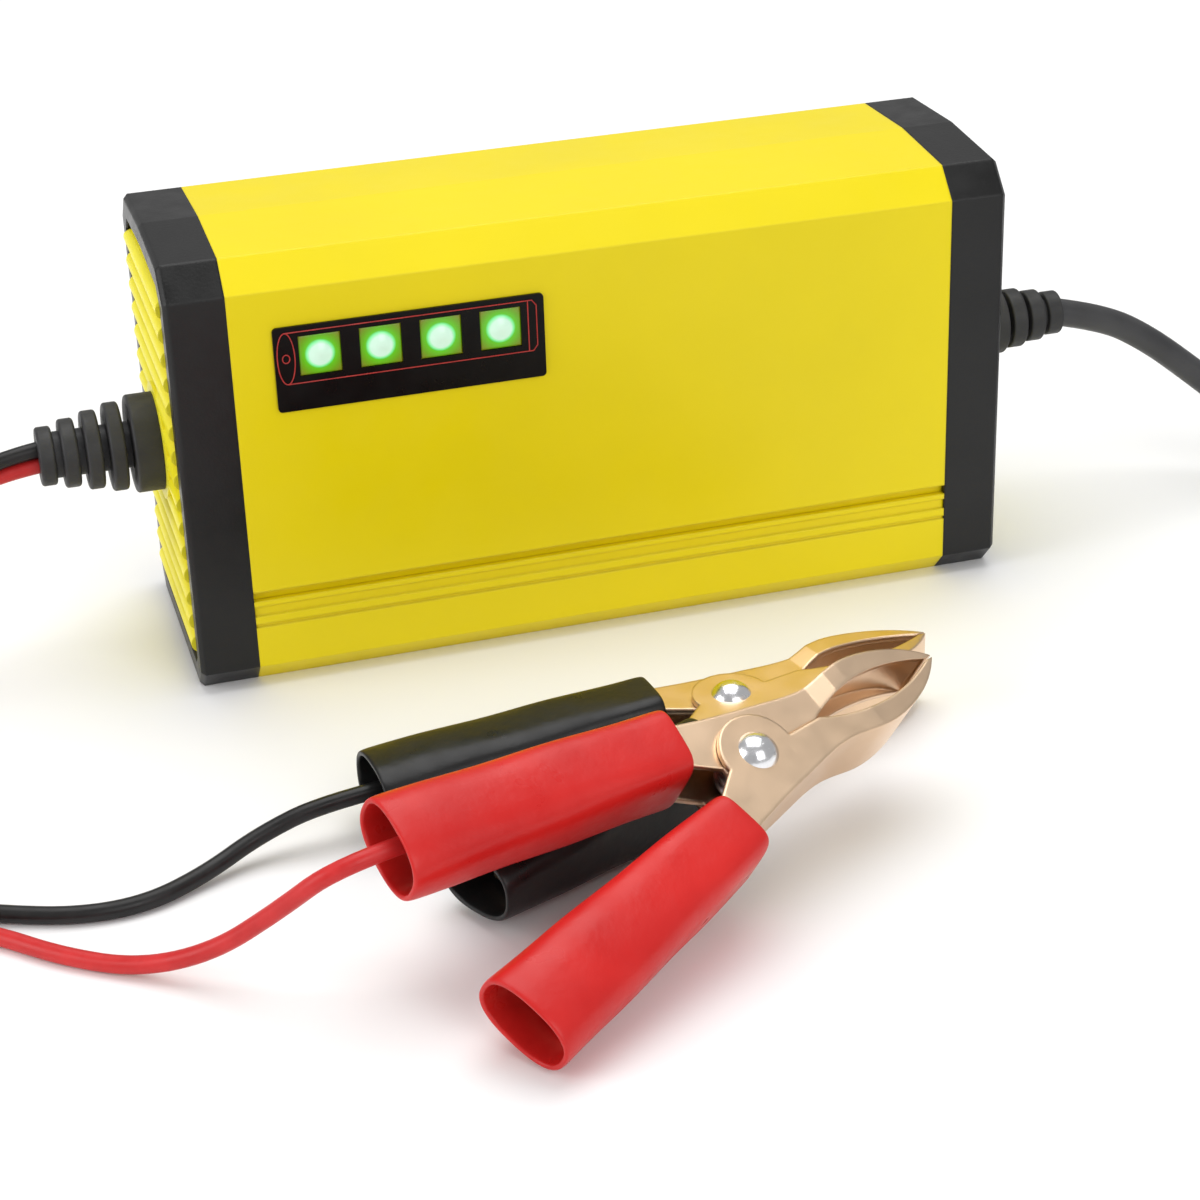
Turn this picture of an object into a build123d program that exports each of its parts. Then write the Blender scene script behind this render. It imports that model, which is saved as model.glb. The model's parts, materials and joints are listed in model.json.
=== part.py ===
from build123d import *

import os
from math import atan2, cos, pi, radians, sin, tan

# A car battery charger: a mains power pack that stands on its narrow side, a round mains lead with
# its plug, and a red and a black output wire that end in sprung battery clamps.
# +X runs along the case to the mains end, the display faces -Y, and +Z is up. The origin is the
# centre of the case's underside. All sizes are in millimetres.

os.makedirs("parts", exist_ok=True)

# ---------------------------------------------------------------- driving dimensions: the case
case_length = 120.0
case_depth = 38.4
shoulder_height = 63.1
ridge_rise = 0.8
top_chamfer_depth = 4.0
top_chamfer_height = 4.1
base_chamfer_depth = 3.15
base_chamfer_height = 3.3
wall = 1.8

split_height = 14.2
reveal = 1.4
tongue = 0.7
tongue_depth = 2.0
slip = 0.1
groove_height = 1.5
groove_drop = 1.6
groove_depth = 0.4
line_height = 0.5
line_drop = 3.8
line_depth = 0.3

end_frame_width = 8.3
frame_rim = 3.2
frame_chamfer = 0.6
spigot_length = 5.2
spigot_wall = 1.4
spigot_gap = 0.15
lip_width = 1.2
lip_thickness = 1.5
panel_recess = 0.8
panel_thickness = 2.0
panel_gap = 0.15
rib_pitch = 3.6
rib_radius = 1.35
rib_count = 15
slot_height = 1.1
slot_width = 9.0

boot_height = 31.6
pad_radius = 8.4
neck_radius = 4.4
neck_gap = 0.1
flange_radius = 6.0
flange_thickness = 1.2

screw_spread = 22.0
screw_shank_radius = 1.1
screw_length = 6.5
screw_head_radius = 2.2
screw_gap = 0.15
screw_boss = 6.0
screw_boss_height = 4.6

board_base = 7.4
board_thickness = 1.6
board_gap = 0.2
rail_reach = 2.0
rail_thickness = 1.1

# ---------------------------------------------------------------- driving dimensions: the display
label_left = -45.9
label_width = 37.6
label_height = 12.2
label_centre_height = 47.7
label_thickness = 0.4
window_size = 5.8
window_pitch = 8.37
window_first = -39.6
window_height = 49.4
window_count = 4
window_gap = 0.1
lens_reach = 0.9
dome_radius = 1.9
dome_rise = 0.7
led_radius = 1.75
led_height = 3.0
led_board_thickness = 1.2
led_board_margin = 1.4

# ---------------------------------------------------------------- driving dimensions: the clamps
tip_reach = 32.2
handle_reach = 42.0
sheet = 0.8
channel_width = 10.4
tip_width = 8.0
heel_width = 5.8
boss_radius = 5.2
nest_gap = 0.15
nest_reach = 12.5
rivet_radius = 1.5
rivet_gap = 0.05
rivet_head_radius = 2.65
rivet_head_height = 1.5
spring_wire = 1.2
spring_radius = 2.7
spring_turns = 4
spring_pitch = 1.25
spring_leg_angle = 21.0
spring_leg_length = 14.5
sleeve_front = 8.0
sleeve_back = 47.0
sleeve_wall = 0.8
sleeve_swell = 2.5
sleeve_front_size = (9.4, channel_width + 2 * (sleeve_wall + slip), 2.0)
sleeve_middle_size = (11.4, (channel_width + heel_width) / 2 + sleeve_swell, 3.8)
sleeve_back_size = (13.2, 9.2, 4.5)
handle_spread = 12.9
handle_front_offset = 6.5

# ---------------------------------------------------------------- driving dimensions: the leads
mains_diameter = 4.2
wire_diameter = 2.3
mains_boot_stand = 17.4
output_boot_stand = 17.4
mains_boot_end = case_length / 2 + mains_boot_stand
output_boot_end = case_length / 2 + output_boot_stand
plug_length = 34.0
plug_width = 25.0
plug_height = 15.0
blade_length = 16.0
blade_width = 6.35
blade_thickness = 1.5
blade_spacing = 12.7

half_length = case_length / 2
half_depth = case_depth / 2
shell_length = case_length - 2 * end_frame_width
panel_face = half_length - panel_recess
panel_seat = panel_face - panel_thickness
board_top = board_base + board_thickness


def save(piece, name):
    """Label a finished piece and write it as its own file."""
    piece.label = name
    export_step(piece, f"parts/{name}.step")


def case_points():
    """Corners of the case's section, in Y and Z: six facets and a shallow roof."""
    front = [
        (half_depth - base_chamfer_depth, 0),
        (half_depth, base_chamfer_height),
        (half_depth, shoulder_height - top_chamfer_height),
        (half_depth - top_chamfer_depth, shoulder_height),
    ]
    ridge = [(0, shoulder_height + ridge_rise)]
    return front + ridge + [(-y, z) for y, z in reversed(front)]


def inset_outline(inset):
    """The case's section drawn in by an even distance, for the sketch that is open."""
    Polygon(*case_points(), align=None)
    offset(amount=-inset, kind=Kind.INTERSECTION, mode=Mode.REPLACE)


def case_ring(outer_inset, inner_inset):
    """A closed band of the case's section between two insets, for the sketch that is open."""
    inset_outline(outer_inset)
    offset(amount=outer_inset - inner_inset, kind=Kind.INTERSECTION, mode=Mode.SUBTRACT)


# ---------------------------------------------------------------- the two housing shells
upper_edge = split_height + reveal / 2
lower_edge = split_height - reveal / 2
inner_face = half_depth - wall
window_places = [
    (window_first + index * window_pitch, window_height) for index in range(window_count)
]

with BuildPart() as upper_shell:
    with BuildSketch(Plane.YZ.offset(-shell_length / 2)) as upper_section:
        Polygon(*case_points(), align=None)
        offset(amount=-wall, kind=Kind.INTERSECTION, mode=Mode.SUBTRACT)
        with Locations((0, upper_edge / 2)):
            Rectangle(case_depth + wall, upper_edge, mode=Mode.SUBTRACT)
        tongue_bottom = lower_edge - tongue_depth
        tongue_centre = inner_face + tongue / 2
        with Locations(*[(side * tongue_centre, (upper_edge + tongue_bottom) / 2) for side in (-1, 1)]):
            Rectangle(tongue, upper_edge - tongue_bottom)
    extrude(amount=shell_length)
    with BuildSketch(Plane.XZ.offset(half_depth)) as shell_windows:
        with Locations(*window_places):
            Rectangle(window_size, window_size)
    extrude(amount=-wall, mode=Mode.SUBTRACT)
save(upper_shell.part, "upper_shell")

rail_length = shell_length - 2 * spigot_length - 1.0
screw_x = shell_length / 2 - spigot_length / 2
screw_places = [(x, y) for x in (-screw_x, screw_x) for y in (-screw_spread / 2, screw_spread / 2)]

with BuildPart() as lower_shell:
    with BuildSketch(Plane.YZ.offset(-shell_length / 2)) as lower_section:
        Polygon(*case_points(), align=None)
        offset(amount=-wall, kind=Kind.INTERSECTION, mode=Mode.SUBTRACT)
        cut_height = shoulder_height + wall - lower_edge
        with Locations((0, lower_edge + cut_height / 2)):
            Rectangle(case_depth + wall, cut_height, mode=Mode.SUBTRACT)
        rebate = tongue + slip
        rebate_depth = tongue_depth + slip
        for side in (-1, 1):
            with Locations((side * (inner_face + rebate / 2), lower_edge - rebate_depth / 2)):
                Rectangle(rebate, rebate_depth, mode=Mode.SUBTRACT)
            with Locations((side * (half_depth - groove_depth / 2), lower_edge - groove_drop)):
                Rectangle(groove_depth, groove_height, mode=Mode.SUBTRACT)
            with Locations((side * (half_depth - line_depth / 2), lower_edge - line_drop)):
                Rectangle(line_depth, line_height, mode=Mode.SUBTRACT)
    extrude(amount=shell_length)
    with BuildSketch(Plane.YZ.offset(-rail_length / 2)) as rails:
        rail_heights = (
            board_base - slip - rail_thickness / 2,
            board_top + slip + rail_thickness / 2,
        )
        rail_middle = inner_face - rail_reach / 2
        with Locations(*[(side * rail_middle, z) for side in (-1, 1) for z in rail_heights]):
            Rectangle(rail_reach, rail_thickness)
    extrude(amount=rail_length)
    with Locations(*[Location((x, y, 0), (180, 0, 0)) for x, y in screw_places]):
        CounterSinkHole(screw_shank_radius + screw_gap, screw_head_radius + screw_gap, depth=wall * 2)
save(lower_shell.part, "lower_shell")

# ---------------------------------------------------------------- end frames, panels and screws
for side, place in ((-1, "left"), (1, "right")):
    outer_x = side * half_length
    with BuildPart() as end_frame:
        with BuildSketch(Plane.YZ.offset(outer_x)) as rim_section:
            case_ring(0, frame_rim)
        extrude(amount=-side * end_frame_width)
        rim_edges = end_frame.faces().sort_by(Axis.X)[0 if side < 0 else -1].outer_wire().edges()
        chamfer(rim_edges, frame_chamfer)
        with BuildSketch(Plane.YZ.offset(side * panel_seat)) as lip_section:
            case_ring(frame_rim - slip, frame_rim + lip_width)
        extrude(amount=-side * lip_thickness)
        with BuildSketch(Plane.YZ.offset(side * shell_length / 2)) as spigot_section:
            case_ring(wall + spigot_gap, wall + spigot_gap + spigot_wall)
            boss_centre = wall + spigot_gap + screw_boss_height / 2
            with Locations(*[(y, boss_centre) for y in (-screw_spread / 2, screw_spread / 2)]):
                Rectangle(screw_boss, screw_boss_height)
        extrude(amount=-side * spigot_length)
        with Locations(*[(x, y, 0) for x, y in screw_places if x * side > 0]):
            Cylinder(
                screw_shank_radius + slip / 2,
                2 * (screw_length + slip),
                mode=Mode.SUBTRACT,
            )
    save(end_frame.part, f"{place}_end_frame")

    rib_span = (rib_count - 1) * rib_pitch
    rib_heights = [boot_height - rib_span / 2 + index * rib_pitch for index in range(rib_count)]
    with BuildPart() as end_panel:
        with BuildSketch(Plane.XZ) as rib_profile:
            with Locations(*[(side * panel_face, z) for z in rib_heights]):
                Circle(rib_radius)
        extrude(amount=half_depth, both=True)
        with BuildSketch(Plane.YZ.offset(side * (panel_face + rib_radius))) as rib_limit:
            inset_outline(frame_rim + panel_gap + rib_radius / 2)
        extrude(amount=-side * (rib_radius + panel_thickness / 2), mode=Mode.INTERSECT)
        with BuildSketch(Plane.YZ.offset(side * panel_face)) as plate_section:
            inset_outline(frame_rim + panel_gap)
        extrude(amount=-side * panel_thickness)
        with BuildSketch(Plane.YZ.offset(side * panel_face)) as boot_pad:
            with Locations((0, boot_height)):
                Circle(pad_radius)
        extrude(amount=side * rib_radius)
        with BuildSketch(Plane.YZ.offset(side * (panel_face + rib_radius))) as openings:
            with Locations((0, boot_height)):
                Circle(neck_radius + neck_gap)
            slot_heights = [
                z + rib_pitch / 2
                for z in rib_heights[:-1]
                if abs(z + rib_pitch / 2 - boot_height) > pad_radius + slot_height
            ]
            slot_y = slot_width / 2 + 1.5
            with Locations(*[(y, z) for y in (-slot_y, slot_y) for z in slot_heights[1:-1]]):
                SlotOverall(slot_width, slot_height)
        extrude(amount=-side * (panel_thickness + 2 * rib_radius), mode=Mode.SUBTRACT)
    save(end_panel.part, f"{place}_end_panel")

with BuildPart() as case_screws:
    with BuildSketch() as screw_shanks:
        with Locations(*screw_places):
            Circle(screw_shank_radius)
    extrude(amount=screw_length)
    head_cone = screw_head_radius - screw_shank_radius
    with Locations(*[(x, y, head_cone / 2) for x, y in screw_places]):
        Cone(screw_head_radius, screw_shank_radius, head_cone)
    with Locations(*screw_places):
        Box(2 * screw_head_radius * 0.7, 0.6, 1.0, mode=Mode.SUBTRACT)
save(case_screws.part, "case_screws")

# ---------------------------------------------------------------- rubber boots on both leads
boot_face = panel_face + rib_radius


def boot_profile(end, base_radius, end_radius, core_radius, base_width, gap, rings=5):
    """Half section of a ringed strain relief, for the sketch that is open: X out, Y radius."""
    length = end - boot_face
    inside = boot_face - panel_seat
    step = (length - base_width) / (rings - 1)
    with Locations((-inside / 2, neck_radius / 2)):
        Rectangle(inside, neck_radius)
    with Locations((-inside - flange_thickness / 2, flange_radius / 2)):
        Rectangle(flange_thickness, flange_radius)
    with Locations((length / 2, core_radius / 2)):
        Rectangle(length, core_radius)
    for index in range(rings):
        radius = base_radius + (end_radius - base_radius) * index / (rings - 1)
        start = 0 if index == 0 else base_width + (index - 1) * step + gap
        width = base_width if index == 0 else step - gap
        with Locations((start + width / 2, radius / 2)):
            Rectangle(width, radius)


with BuildPart() as output_boot:
    output_axis = Plane(origin=(-boot_face, 0, boot_height), x_dir=(-1, 0, 0), z_dir=(0, 1, 0))
    with BuildSketch(output_axis) as output_profile:
        boot_profile(output_boot_end, 7.0, 4.2, 3.3, 3.9, 1.0)
        fillet(output_profile.vertices().filter_by(lambda v: v.Y > 4.0 and v.X > 0.1), 0.45)
    revolve(axis=Axis((0, 0, boot_height), (1, 0, 0)))
save(output_boot.part, "output_boot")

with BuildPart() as mains_boot:
    mains_axis = Plane(origin=(boot_face, 0, boot_height), x_dir=(1, 0, 0), z_dir=(0, -1, 0))
    with BuildSketch(mains_axis) as mains_profile:
        boot_profile(mains_boot_end, 5.6, 3.3, 2.5, 4.2, 0.8)
        fillet(mains_profile.vertices().filter_by(lambda v: v.Y > 3.2 and v.X > 0.1), 0.3)
    revolve(axis=Axis((0, 0, boot_height), (1, 0, 0)))
save(mains_boot.part, "mains_boot")

# ---------------------------------------------------------------- charge display
with BuildPart() as display_label:
    label_centre = label_left + label_width / 2
    with BuildSketch(Plane.XZ.offset(half_depth)) as label_face:
        with Locations((label_centre, label_centre_height)):
            RectangleRounded(label_width, label_height, 0.6)
        with Locations(*window_places):
            Rectangle(window_size, window_size, mode=Mode.SUBTRACT)
    extrude(amount=label_thickness)
save(display_label.part, "display_label")

lens_size = window_size - 2 * window_gap
lens_back = half_depth - wall - lens_reach
with BuildPart() as display_lenses:
    with BuildSketch(Plane.XZ.offset(half_depth)) as lens_faces:
        with Locations(*window_places):
            Rectangle(lens_size, lens_size)
    extrude(amount=-(wall + lens_reach))
    dome_sphere = (dome_radius**2 + dome_rise**2) / (2 * dome_rise)
    dome_centre = -(half_depth + dome_rise - dome_sphere)
    with Locations(*[(x, dome_centre, z) for x, z in window_places]):
        Sphere(dome_sphere, mode=Mode.ADD)
    with BuildSketch(Plane.XZ.offset(lens_back)) as lens_limit:
        with Locations(*window_places):
            Rectangle(lens_size, lens_size)
    extrude(amount=wall + lens_reach + dome_rise, mode=Mode.INTERSECT)
save(display_lenses.part, "display_lenses")

led_face = lens_back - 0.1
with BuildPart() as status_leds:
    with BuildSketch(Plane.XZ.offset(led_face)) as led_bodies:
        with Locations(*window_places):
            Circle(led_radius)
    extrude(amount=-led_height)
    fillet(status_leds.faces().filter_by(Axis.Y).sort_by(Axis.Y)[:window_count].edges(), 0.9)
save(status_leds.part, "status_leds")

led_board_face = led_face - led_height
led_board_width = (window_count - 1) * window_pitch + window_size + 2 * led_board_margin
led_board_x = window_first + (window_count - 1) * window_pitch / 2
with BuildPart() as led_board:
    with BuildSketch(Plane.XZ.offset(led_board_face)) as led_board_outline:
        with Locations((led_board_x, window_height)):
            Rectangle(led_board_width, window_size + 2 * led_board_margin)
    extrude(amount=-led_board_thickness)
save(led_board.part, "led_board")

with BuildPart() as led_board_pads:
    pad_depth = inner_face - led_board_face
    pad_x = led_board_width / 2 - led_board_margin
    with BuildSketch(Plane.XZ.offset(inner_face)) as foam_outline:
        with Locations(*[(led_board_x + side * (pad_x + 0.6), window_height) for side in (-1, 1)]):
            Rectangle(1.4, window_size)
    extrude(amount=-pad_depth)
save(led_board_pads.part, "led_board_pads")

# ---------------------------------------------------------------- circuit board and components
board_length = rail_length - 2.0
board_width = 2 * (inner_face - board_gap)
with BuildPart() as circuit_board:
    with BuildSketch(Plane.XY.offset(board_base)) as board_outline:
        Rectangle(board_length, board_width)
    extrude(amount=board_thickness)
save(circuit_board.part, "circuit_board")

boxed_parts = {
    "mains_fuse": (41.0, 9.5, 8.5, 4.0, 7.7),
    "line_filter_capacitor": (30.0, 12.0, 13.0, 5.0, 11.0),
    "bridge_rectifier": (18.6, -10.5, 3.8, 9.0, 11.0),
    "optocoupler": (-1.0, -11.8, 4.6, 6.4, 3.5),
    "control_chip": (8.0, -12.6, 9.4, 4.8, 3.3),
}
for name, (x, y, size_x, size_y, size_z) in boxed_parts.items():
    with BuildPart() as boxed:
        with BuildSketch(Plane.XY.offset(board_top)) as boxed_outline:
            with Locations((x, y)):
                Rectangle(size_x, size_y)
        extrude(amount=size_z)
        chamfer(boxed.faces().sort_by(Axis.Z)[-1].edges(), 0.4)
    save(boxed.part, name)

disc_parts = {"surge_varistor": (41.0, -6.0, 4.8, 3.6), "safety_capacitor": (-22.0, -14.0, 3.6, 3.0)}
for name, (x, y, radius, thickness) in disc_parts.items():
    with BuildPart() as disc:
        with BuildSketch(Plane.XZ.offset(-y)) as disc_outline:
            with Locations((x, board_top + radius + 1.5)):
                Circle(radius)
        extrude(amount=thickness / 2, both=True)
        fillet(disc.edges(), 0.9)
        with BuildSketch(Plane.XY.offset(board_top)) as disc_legs:
            with Locations((x - radius / 2, y), (x + radius / 2, y)):
                Circle(0.35)
        extrude(amount=radius)
    save(disc.part, name)

with BuildPart() as line_choke:
    with BuildSketch(Plane.XY.offset(board_top)) as choke_ring:
        with Locations((28.0, -6.5)):
            Circle(7.0)
            Circle(3.2, mode=Mode.SUBTRACT)
    extrude(amount=8.0)
    fillet(line_choke.edges(), 1.2)
save(line_choke.part, "line_choke")

bulk_place = (12.5, 1.0)
with BuildPart() as bulk_capacitor:
    with BuildSketch(Plane.XY.offset(board_top)) as bulk_outline:
        with Locations(bulk_place):
            Circle(8.0)
    extrude(amount=26.0)
    fillet(bulk_capacitor.faces().sort_by(Axis.Z)[-1].edges(), 0.8)
save(bulk_capacitor.part, "bulk_capacitor")

with BuildPart() as output_capacitors:
    with BuildSketch(Plane.XY.offset(board_top)) as output_outline:
        with Locations((-36.5, -8.5), (-36.5, 1.8)):
            Circle(5.0)
    extrude(amount=20.0)
    fillet(output_capacitors.faces().filter_by(Axis.Z).sort_by(Axis.Z)[-2:].edges(), 0.6)
save(output_capacitors.part, "output_capacitors")

core_place = (-10.0, 1.5)
core_size = (25.0, 8.0, 22.0)
coil_size = (16.0, 19.0, 13.0)
winding_gap = 0.1
with BuildPart() as transformer_core:
    with BuildSketch(Plane.XZ.offset(-core_place[1])) as core_face:
        with Locations((core_place[0], board_top + core_size[2] / 2)):
            Rectangle(core_size[0], core_size[2])
            Rectangle(coil_size[0] + 2 * winding_gap, coil_size[2] + 2 * winding_gap, mode=Mode.SUBTRACT)
            Rectangle(6.5, core_size[2])
    extrude(amount=core_size[1] / 2, both=True)
save(transformer_core.part, "transformer_core")

with BuildPart() as transformer_winding:
    with BuildSketch(Plane.XY.offset(board_top + (core_size[2] - coil_size[2]) / 2)) as winding_outline:
        with Locations(core_place):
            RectangleRounded(coil_size[0], coil_size[1], 3.0)
            Rectangle(6.5 + 2 * winding_gap, core_size[1] + 2 * winding_gap, mode=Mode.SUBTRACT)
    extrude(amount=coil_size[2])
save(transformer_winding.part, "transformer_winding")

heatsinks = {"primary_heatsink": (11.0, 22.0), "output_heatsink": (-34.0, 22.0)}
devices = {"primary_heatsink": "switching_transistor", "output_heatsink": "output_diode"}
heatsink_y = 13.4
heatsink_thickness = 1.6
for name, (x, width) in heatsinks.items():
    with BuildPart() as heatsink:
        with BuildSketch(Plane.XZ.offset(-heatsink_y)) as heatsink_face:
            with Locations((x, board_top + 15.0)):
                Rectangle(width, 30.0)
        extrude(amount=-heatsink_thickness)
        with BuildSketch(Plane.XY.offset(board_top + 12.0)) as fins:
            with Locations(*[(x + fin * 4.4, heatsink_y) for fin in (-2, -1, 1, 2)]):
                Rectangle(1.0, 4.0, align=(Align.CENTER, Align.MAX))
        extrude(amount=18.0)
    save(heatsink.part, name)
    with BuildPart() as device:
        with BuildSketch(Plane.XY.offset(board_top + 1.0)) as device_outline:
            with Locations((x, heatsink_y)):
                Rectangle(6.6, 3.6, align=(Align.CENTER, Align.MAX))
        extrude(amount=9.2)
        with BuildSketch(Plane.XY.offset(board_top)) as device_legs:
            with Locations(*[(x + leg * 2.2, heatsink_y - 1.8) for leg in (-1, 0, 1)]):
                Rectangle(0.8, 0.5)
        extrude(amount=2.0)
    save(device.part, devices[name])


def tube(points, diameter, radii):
    """A round lead along straight runs joined by tangent arcs."""
    with BuildPart() as lead:
        with BuildLine():
            route = FilletPolyline(*points, radius=radii)
        with BuildSketch(Plane(origin=route @ 0, z_dir=route % 0)):
            Circle(diameter / 2)
        sweep(path=route)
    return lead.part, route.length


def bend_radii(points):
    """The largest arc that each corner's two runs leave room for."""
    corners = []
    for before, corner, after in zip(points, points[1:], points[2:]):
        run_in = Vector(*corner) - Vector(*before)
        run_out = Vector(*after) - Vector(*corner)
        half_turn = radians(run_in.get_angle(run_out)) / 2
        corners.append(0.45 * min(run_in.length, run_out.length) / tan(half_turn))
    return corners


boot_inside = panel_seat - flange_thickness
inside_leads = {
    "mains_leads_inside": (1, 1.0, 2.6, 43.0),
    "output_leads_inside": (-1, 1.1, 2.6, 43.5),
}
for name, (side, radius, spread, foot_x) in inside_leads.items():
    solids = []
    for hand in (-1, 1):
        route = [
            (side * boot_inside, hand * 1.4, boot_height),
            (side * (boot_inside - 5.0), hand * 1.4, boot_height),
            (side * foot_x, hand * spread, boot_height - 8.0),
            (side * foot_x, hand * spread, board_top),
        ]
        solid, length = tube(route, 2 * radius, bend_radii(route))
        solids.append(solid)
    save(Compound(children=[part.solid() for part in solids]), name)

socket_place = (led_board_x + 1.0, -(led_board_face - 6.5))
socket_height = 6.0
display_route = [
    (led_board_x, -(led_board_face - led_board_thickness), window_height),
    (led_board_x, socket_place[1], window_height),
    (*socket_place, 26.0),
    (*socket_place, board_top + socket_height),
]
with BuildPart() as display_socket:
    with BuildSketch(Plane.XY.offset(board_top)) as socket_outline:
        with Locations(socket_place):
            Rectangle(7.0, 4.5)
    extrude(amount=socket_height)
save(display_socket.part, "display_socket")
display_cable = tube(display_route, 1.6, bend_radii(display_route))[0]
save(display_cable, "display_cable")

# ---------------------------------------------------------------- battery clamps, in their own frame
# X runs from the rivet to the jaw tips, Y across the handles and Z along the rivet.
half_channel = channel_width / 2
nested_half = half_channel - sheet - nest_gap
handle_slope = (handle_spread - handle_front_offset) / (sleeve_back - 1.0 - sleeve_front)
outer_edge = [(tip_reach, 0.15), (28.6, 2.8), (23.4, 4.7), (18.3, 5.2), (12.6, 4.5), (5.8, 5.4), (-2.0, 7.0)]
inner_jaw = [(10.6, 0.12), (17.5, 2.15), (24.5, 2.0), (tip_reach - 1.2, 0.15)]


def handle_edge(x, offset_from_line):
    """Height of a line beside the handle's centre line."""
    return handle_front_offset + handle_slope * (-sleeve_front - x) + offset_from_line


def lever_face(hand, edge_inset):
    """One lever's cheek as a flat face. A positive inset leaves the outer edge's sheet out."""
    heel = -handle_reach - 2 * edge_inset
    outer = [(x, hand * (y - edge_inset)) for x, y in outer_edge]
    outer[0] = (tip_reach - 1.5 * edge_inset, hand * (0.15 - edge_inset / 2))
    heel_outer = (heel, hand * (handle_edge(-handle_reach, 3.4) - edge_inset))
    shoulder = (-sleeve_front, hand * (handle_edge(-sleeve_front, 2.1) - edge_inset))
    below = 6.0 * min(edge_inset, 1.0)
    heel_inner = (heel, hand * (handle_edge(-handle_reach, -3.1) - below))
    notch = (-11.0, hand * (4.4 - below))
    throat = (-5.0, hand * (0.2 - below))
    with BuildSketch() as cheek_face:
        with BuildLine():
            edge = Spline(*outer, shoulder)
            jaw = Spline(*[(x, hand * (y - below)) for x, y in inner_jaw])
            Polyline(shoulder, heel_outer, heel_inner, notch, throat, jaw @ 0)
            Line(jaw @ 1, edge @ 0)
        make_face()
    return cheek_face.sketch


def side_profile(widths):
    """Half widths along the lever, mirrored about its middle plane, for the sketch that is open."""
    upper = [(x, half) for x, half in widths]
    Polygon(*upper, *[(x, -half) for x, half in reversed(upper)], align=None)


def handle_half(x):
    """Half the channel's width inside the sleeve, where it narrows to the heel."""
    taper = (half_channel - heel_width / 2) / (handle_reach - sleeve_front)
    return half_channel - taper * (-sleeve_front - x)


def lever_widths(nested, less):
    """Points of a lever's half width: narrower at its tip and heel, and where it nests."""
    front = [(tip_reach + 1.0, tip_width / 2), (18.0, half_channel)]
    if nested:
        flare = -nest_reach - 2.0
        front += [(nest_reach + 3.0, half_channel), (nest_reach, nested_half)]
        front += [(-nest_reach, nested_half), (flare, handle_half(flare))]
    else:
        front += [(-sleeve_front, half_channel)]
    heel = -handle_reach - 4.0
    return [(x, half - less) for x, half in front + [(heel, handle_half(heel))]]


def make_lever(hand, nested):
    """A folded sheet channel: two cheeks and the web along its outer edge."""
    with BuildPart() as cavity:
        with BuildSketch() as cavity_outline:
            add(lever_face(hand, sheet))
        extrude(amount=channel_width, both=True)
        with BuildSketch(Plane.XZ) as cavity_side:
            side_profile(lever_widths(nested, sheet))
        extrude(amount=3 * handle_spread, both=True, mode=Mode.INTERSECT)
        with BuildSketch() as boss_space:
            Circle(boss_radius + 0.6)
        extrude(amount=(nested_half if nested else half_channel) - sheet, both=True)
    with BuildPart() as lever:
        with BuildSketch() as cheek:
            add(lever_face(hand, 0.0))
            Circle(boss_radius)
        extrude(amount=channel_width, both=True)
        with BuildSketch(Plane.XZ) as side_view:
            side_profile(lever_widths(nested, 0.0))
        extrude(amount=3 * handle_spread, both=True, mode=Mode.INTERSECT)
        add(cavity.part, mode=Mode.SUBTRACT)
        Cylinder(rivet_radius + rivet_gap, 2 * channel_width, mode=Mode.SUBTRACT)
    return lever.part


def handle_plane(distance, offset_from_line):
    """A plane across the handle, that far back from the sleeve's front end."""
    slope = atan2(handle_slope, 1.0)
    x = -sleeve_front - distance
    centre = (x, handle_edge(x, offset_from_line), 0)
    return Plane(origin=centre, x_dir=(sin(slope), cos(slope), 0), z_dir=(-cos(slope), sin(slope), 0))


def make_sleeve():
    """A soft tube pushed over the handle on the positive side, open at both ends."""
    reach = sleeve_back - sleeve_front
    stations = ((0.0, sleeve_front_size), (reach / 2, sleeve_middle_size), (reach, sleeve_back_size))
    with BuildPart() as bore:
        for distance, (width, height, radius) in stations:
            with BuildSketch(handle_plane(distance, 0.0)):
                inner_radius = radius - 0.9 * sleeve_wall
                RectangleRounded(width - 2 * sleeve_wall, height - 2 * sleeve_wall, inner_radius)
        loft()
    with BuildPart() as sleeve:
        for distance, (width, height, radius) in stations:
            with BuildSketch(handle_plane(distance, 0.0)):
                RectangleRounded(width, height, radius)
        loft()
        add(bore.part, mode=Mode.SUBTRACT)
    return sleeve.part


def make_rivet():
    """A domed rivet through all four cheeks, closed over at its far end."""
    with BuildPart() as rivet:
        Cylinder(rivet_radius, channel_width)
        for end in (-1, 1):
            dome = (rivet_head_radius**2 + rivet_head_height**2) / (2 * rivet_head_height)
            centre = end * (half_channel + rivet_head_height - dome)
            head = Pos(0, 0, centre) * Sphere(dome, mode=Mode.PRIVATE)
            cap = Box(4 * dome, 4 * dome, 2 * rivet_head_height, mode=Mode.PRIVATE)
            add(head & (Pos(0, 0, end * (half_channel + rivet_head_height)) * cap))
    return rivet.part


def make_spring():
    """A torsion spring round the rivet, its two legs against the webs."""
    sweep_angle = 360 * spring_turns + 2 * (90 - spring_leg_angle)
    corners = 2 * round(sweep_angle / 90)
    step = radians(sweep_angle) / corners
    height = spring_pitch * sweep_angle / 360
    corner_radius = spring_radius / cos(step / 2)
    winding = []
    for index in range(corners):
        angle = radians(spring_leg_angle - 90) + (index + 0.5) * step
        rise = height * ((index + 0.5) / corners - 0.5)
        winding.append((corner_radius * cos(angle), corner_radius * sin(angle), rise))
    slant = radians(spring_leg_angle)
    legs = []
    for side, corner in ((-1, winding[0]), (1, winding[-1])):
        reach = spring_leg_length
        legs.append((corner[0] - reach * cos(slant), corner[1] + side * reach * sin(slant), corner[2]))
    route = [legs[0], *winding, legs[1]]
    spring, length = tube(route, spring_wire, bend_radii(route))
    return spring


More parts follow.
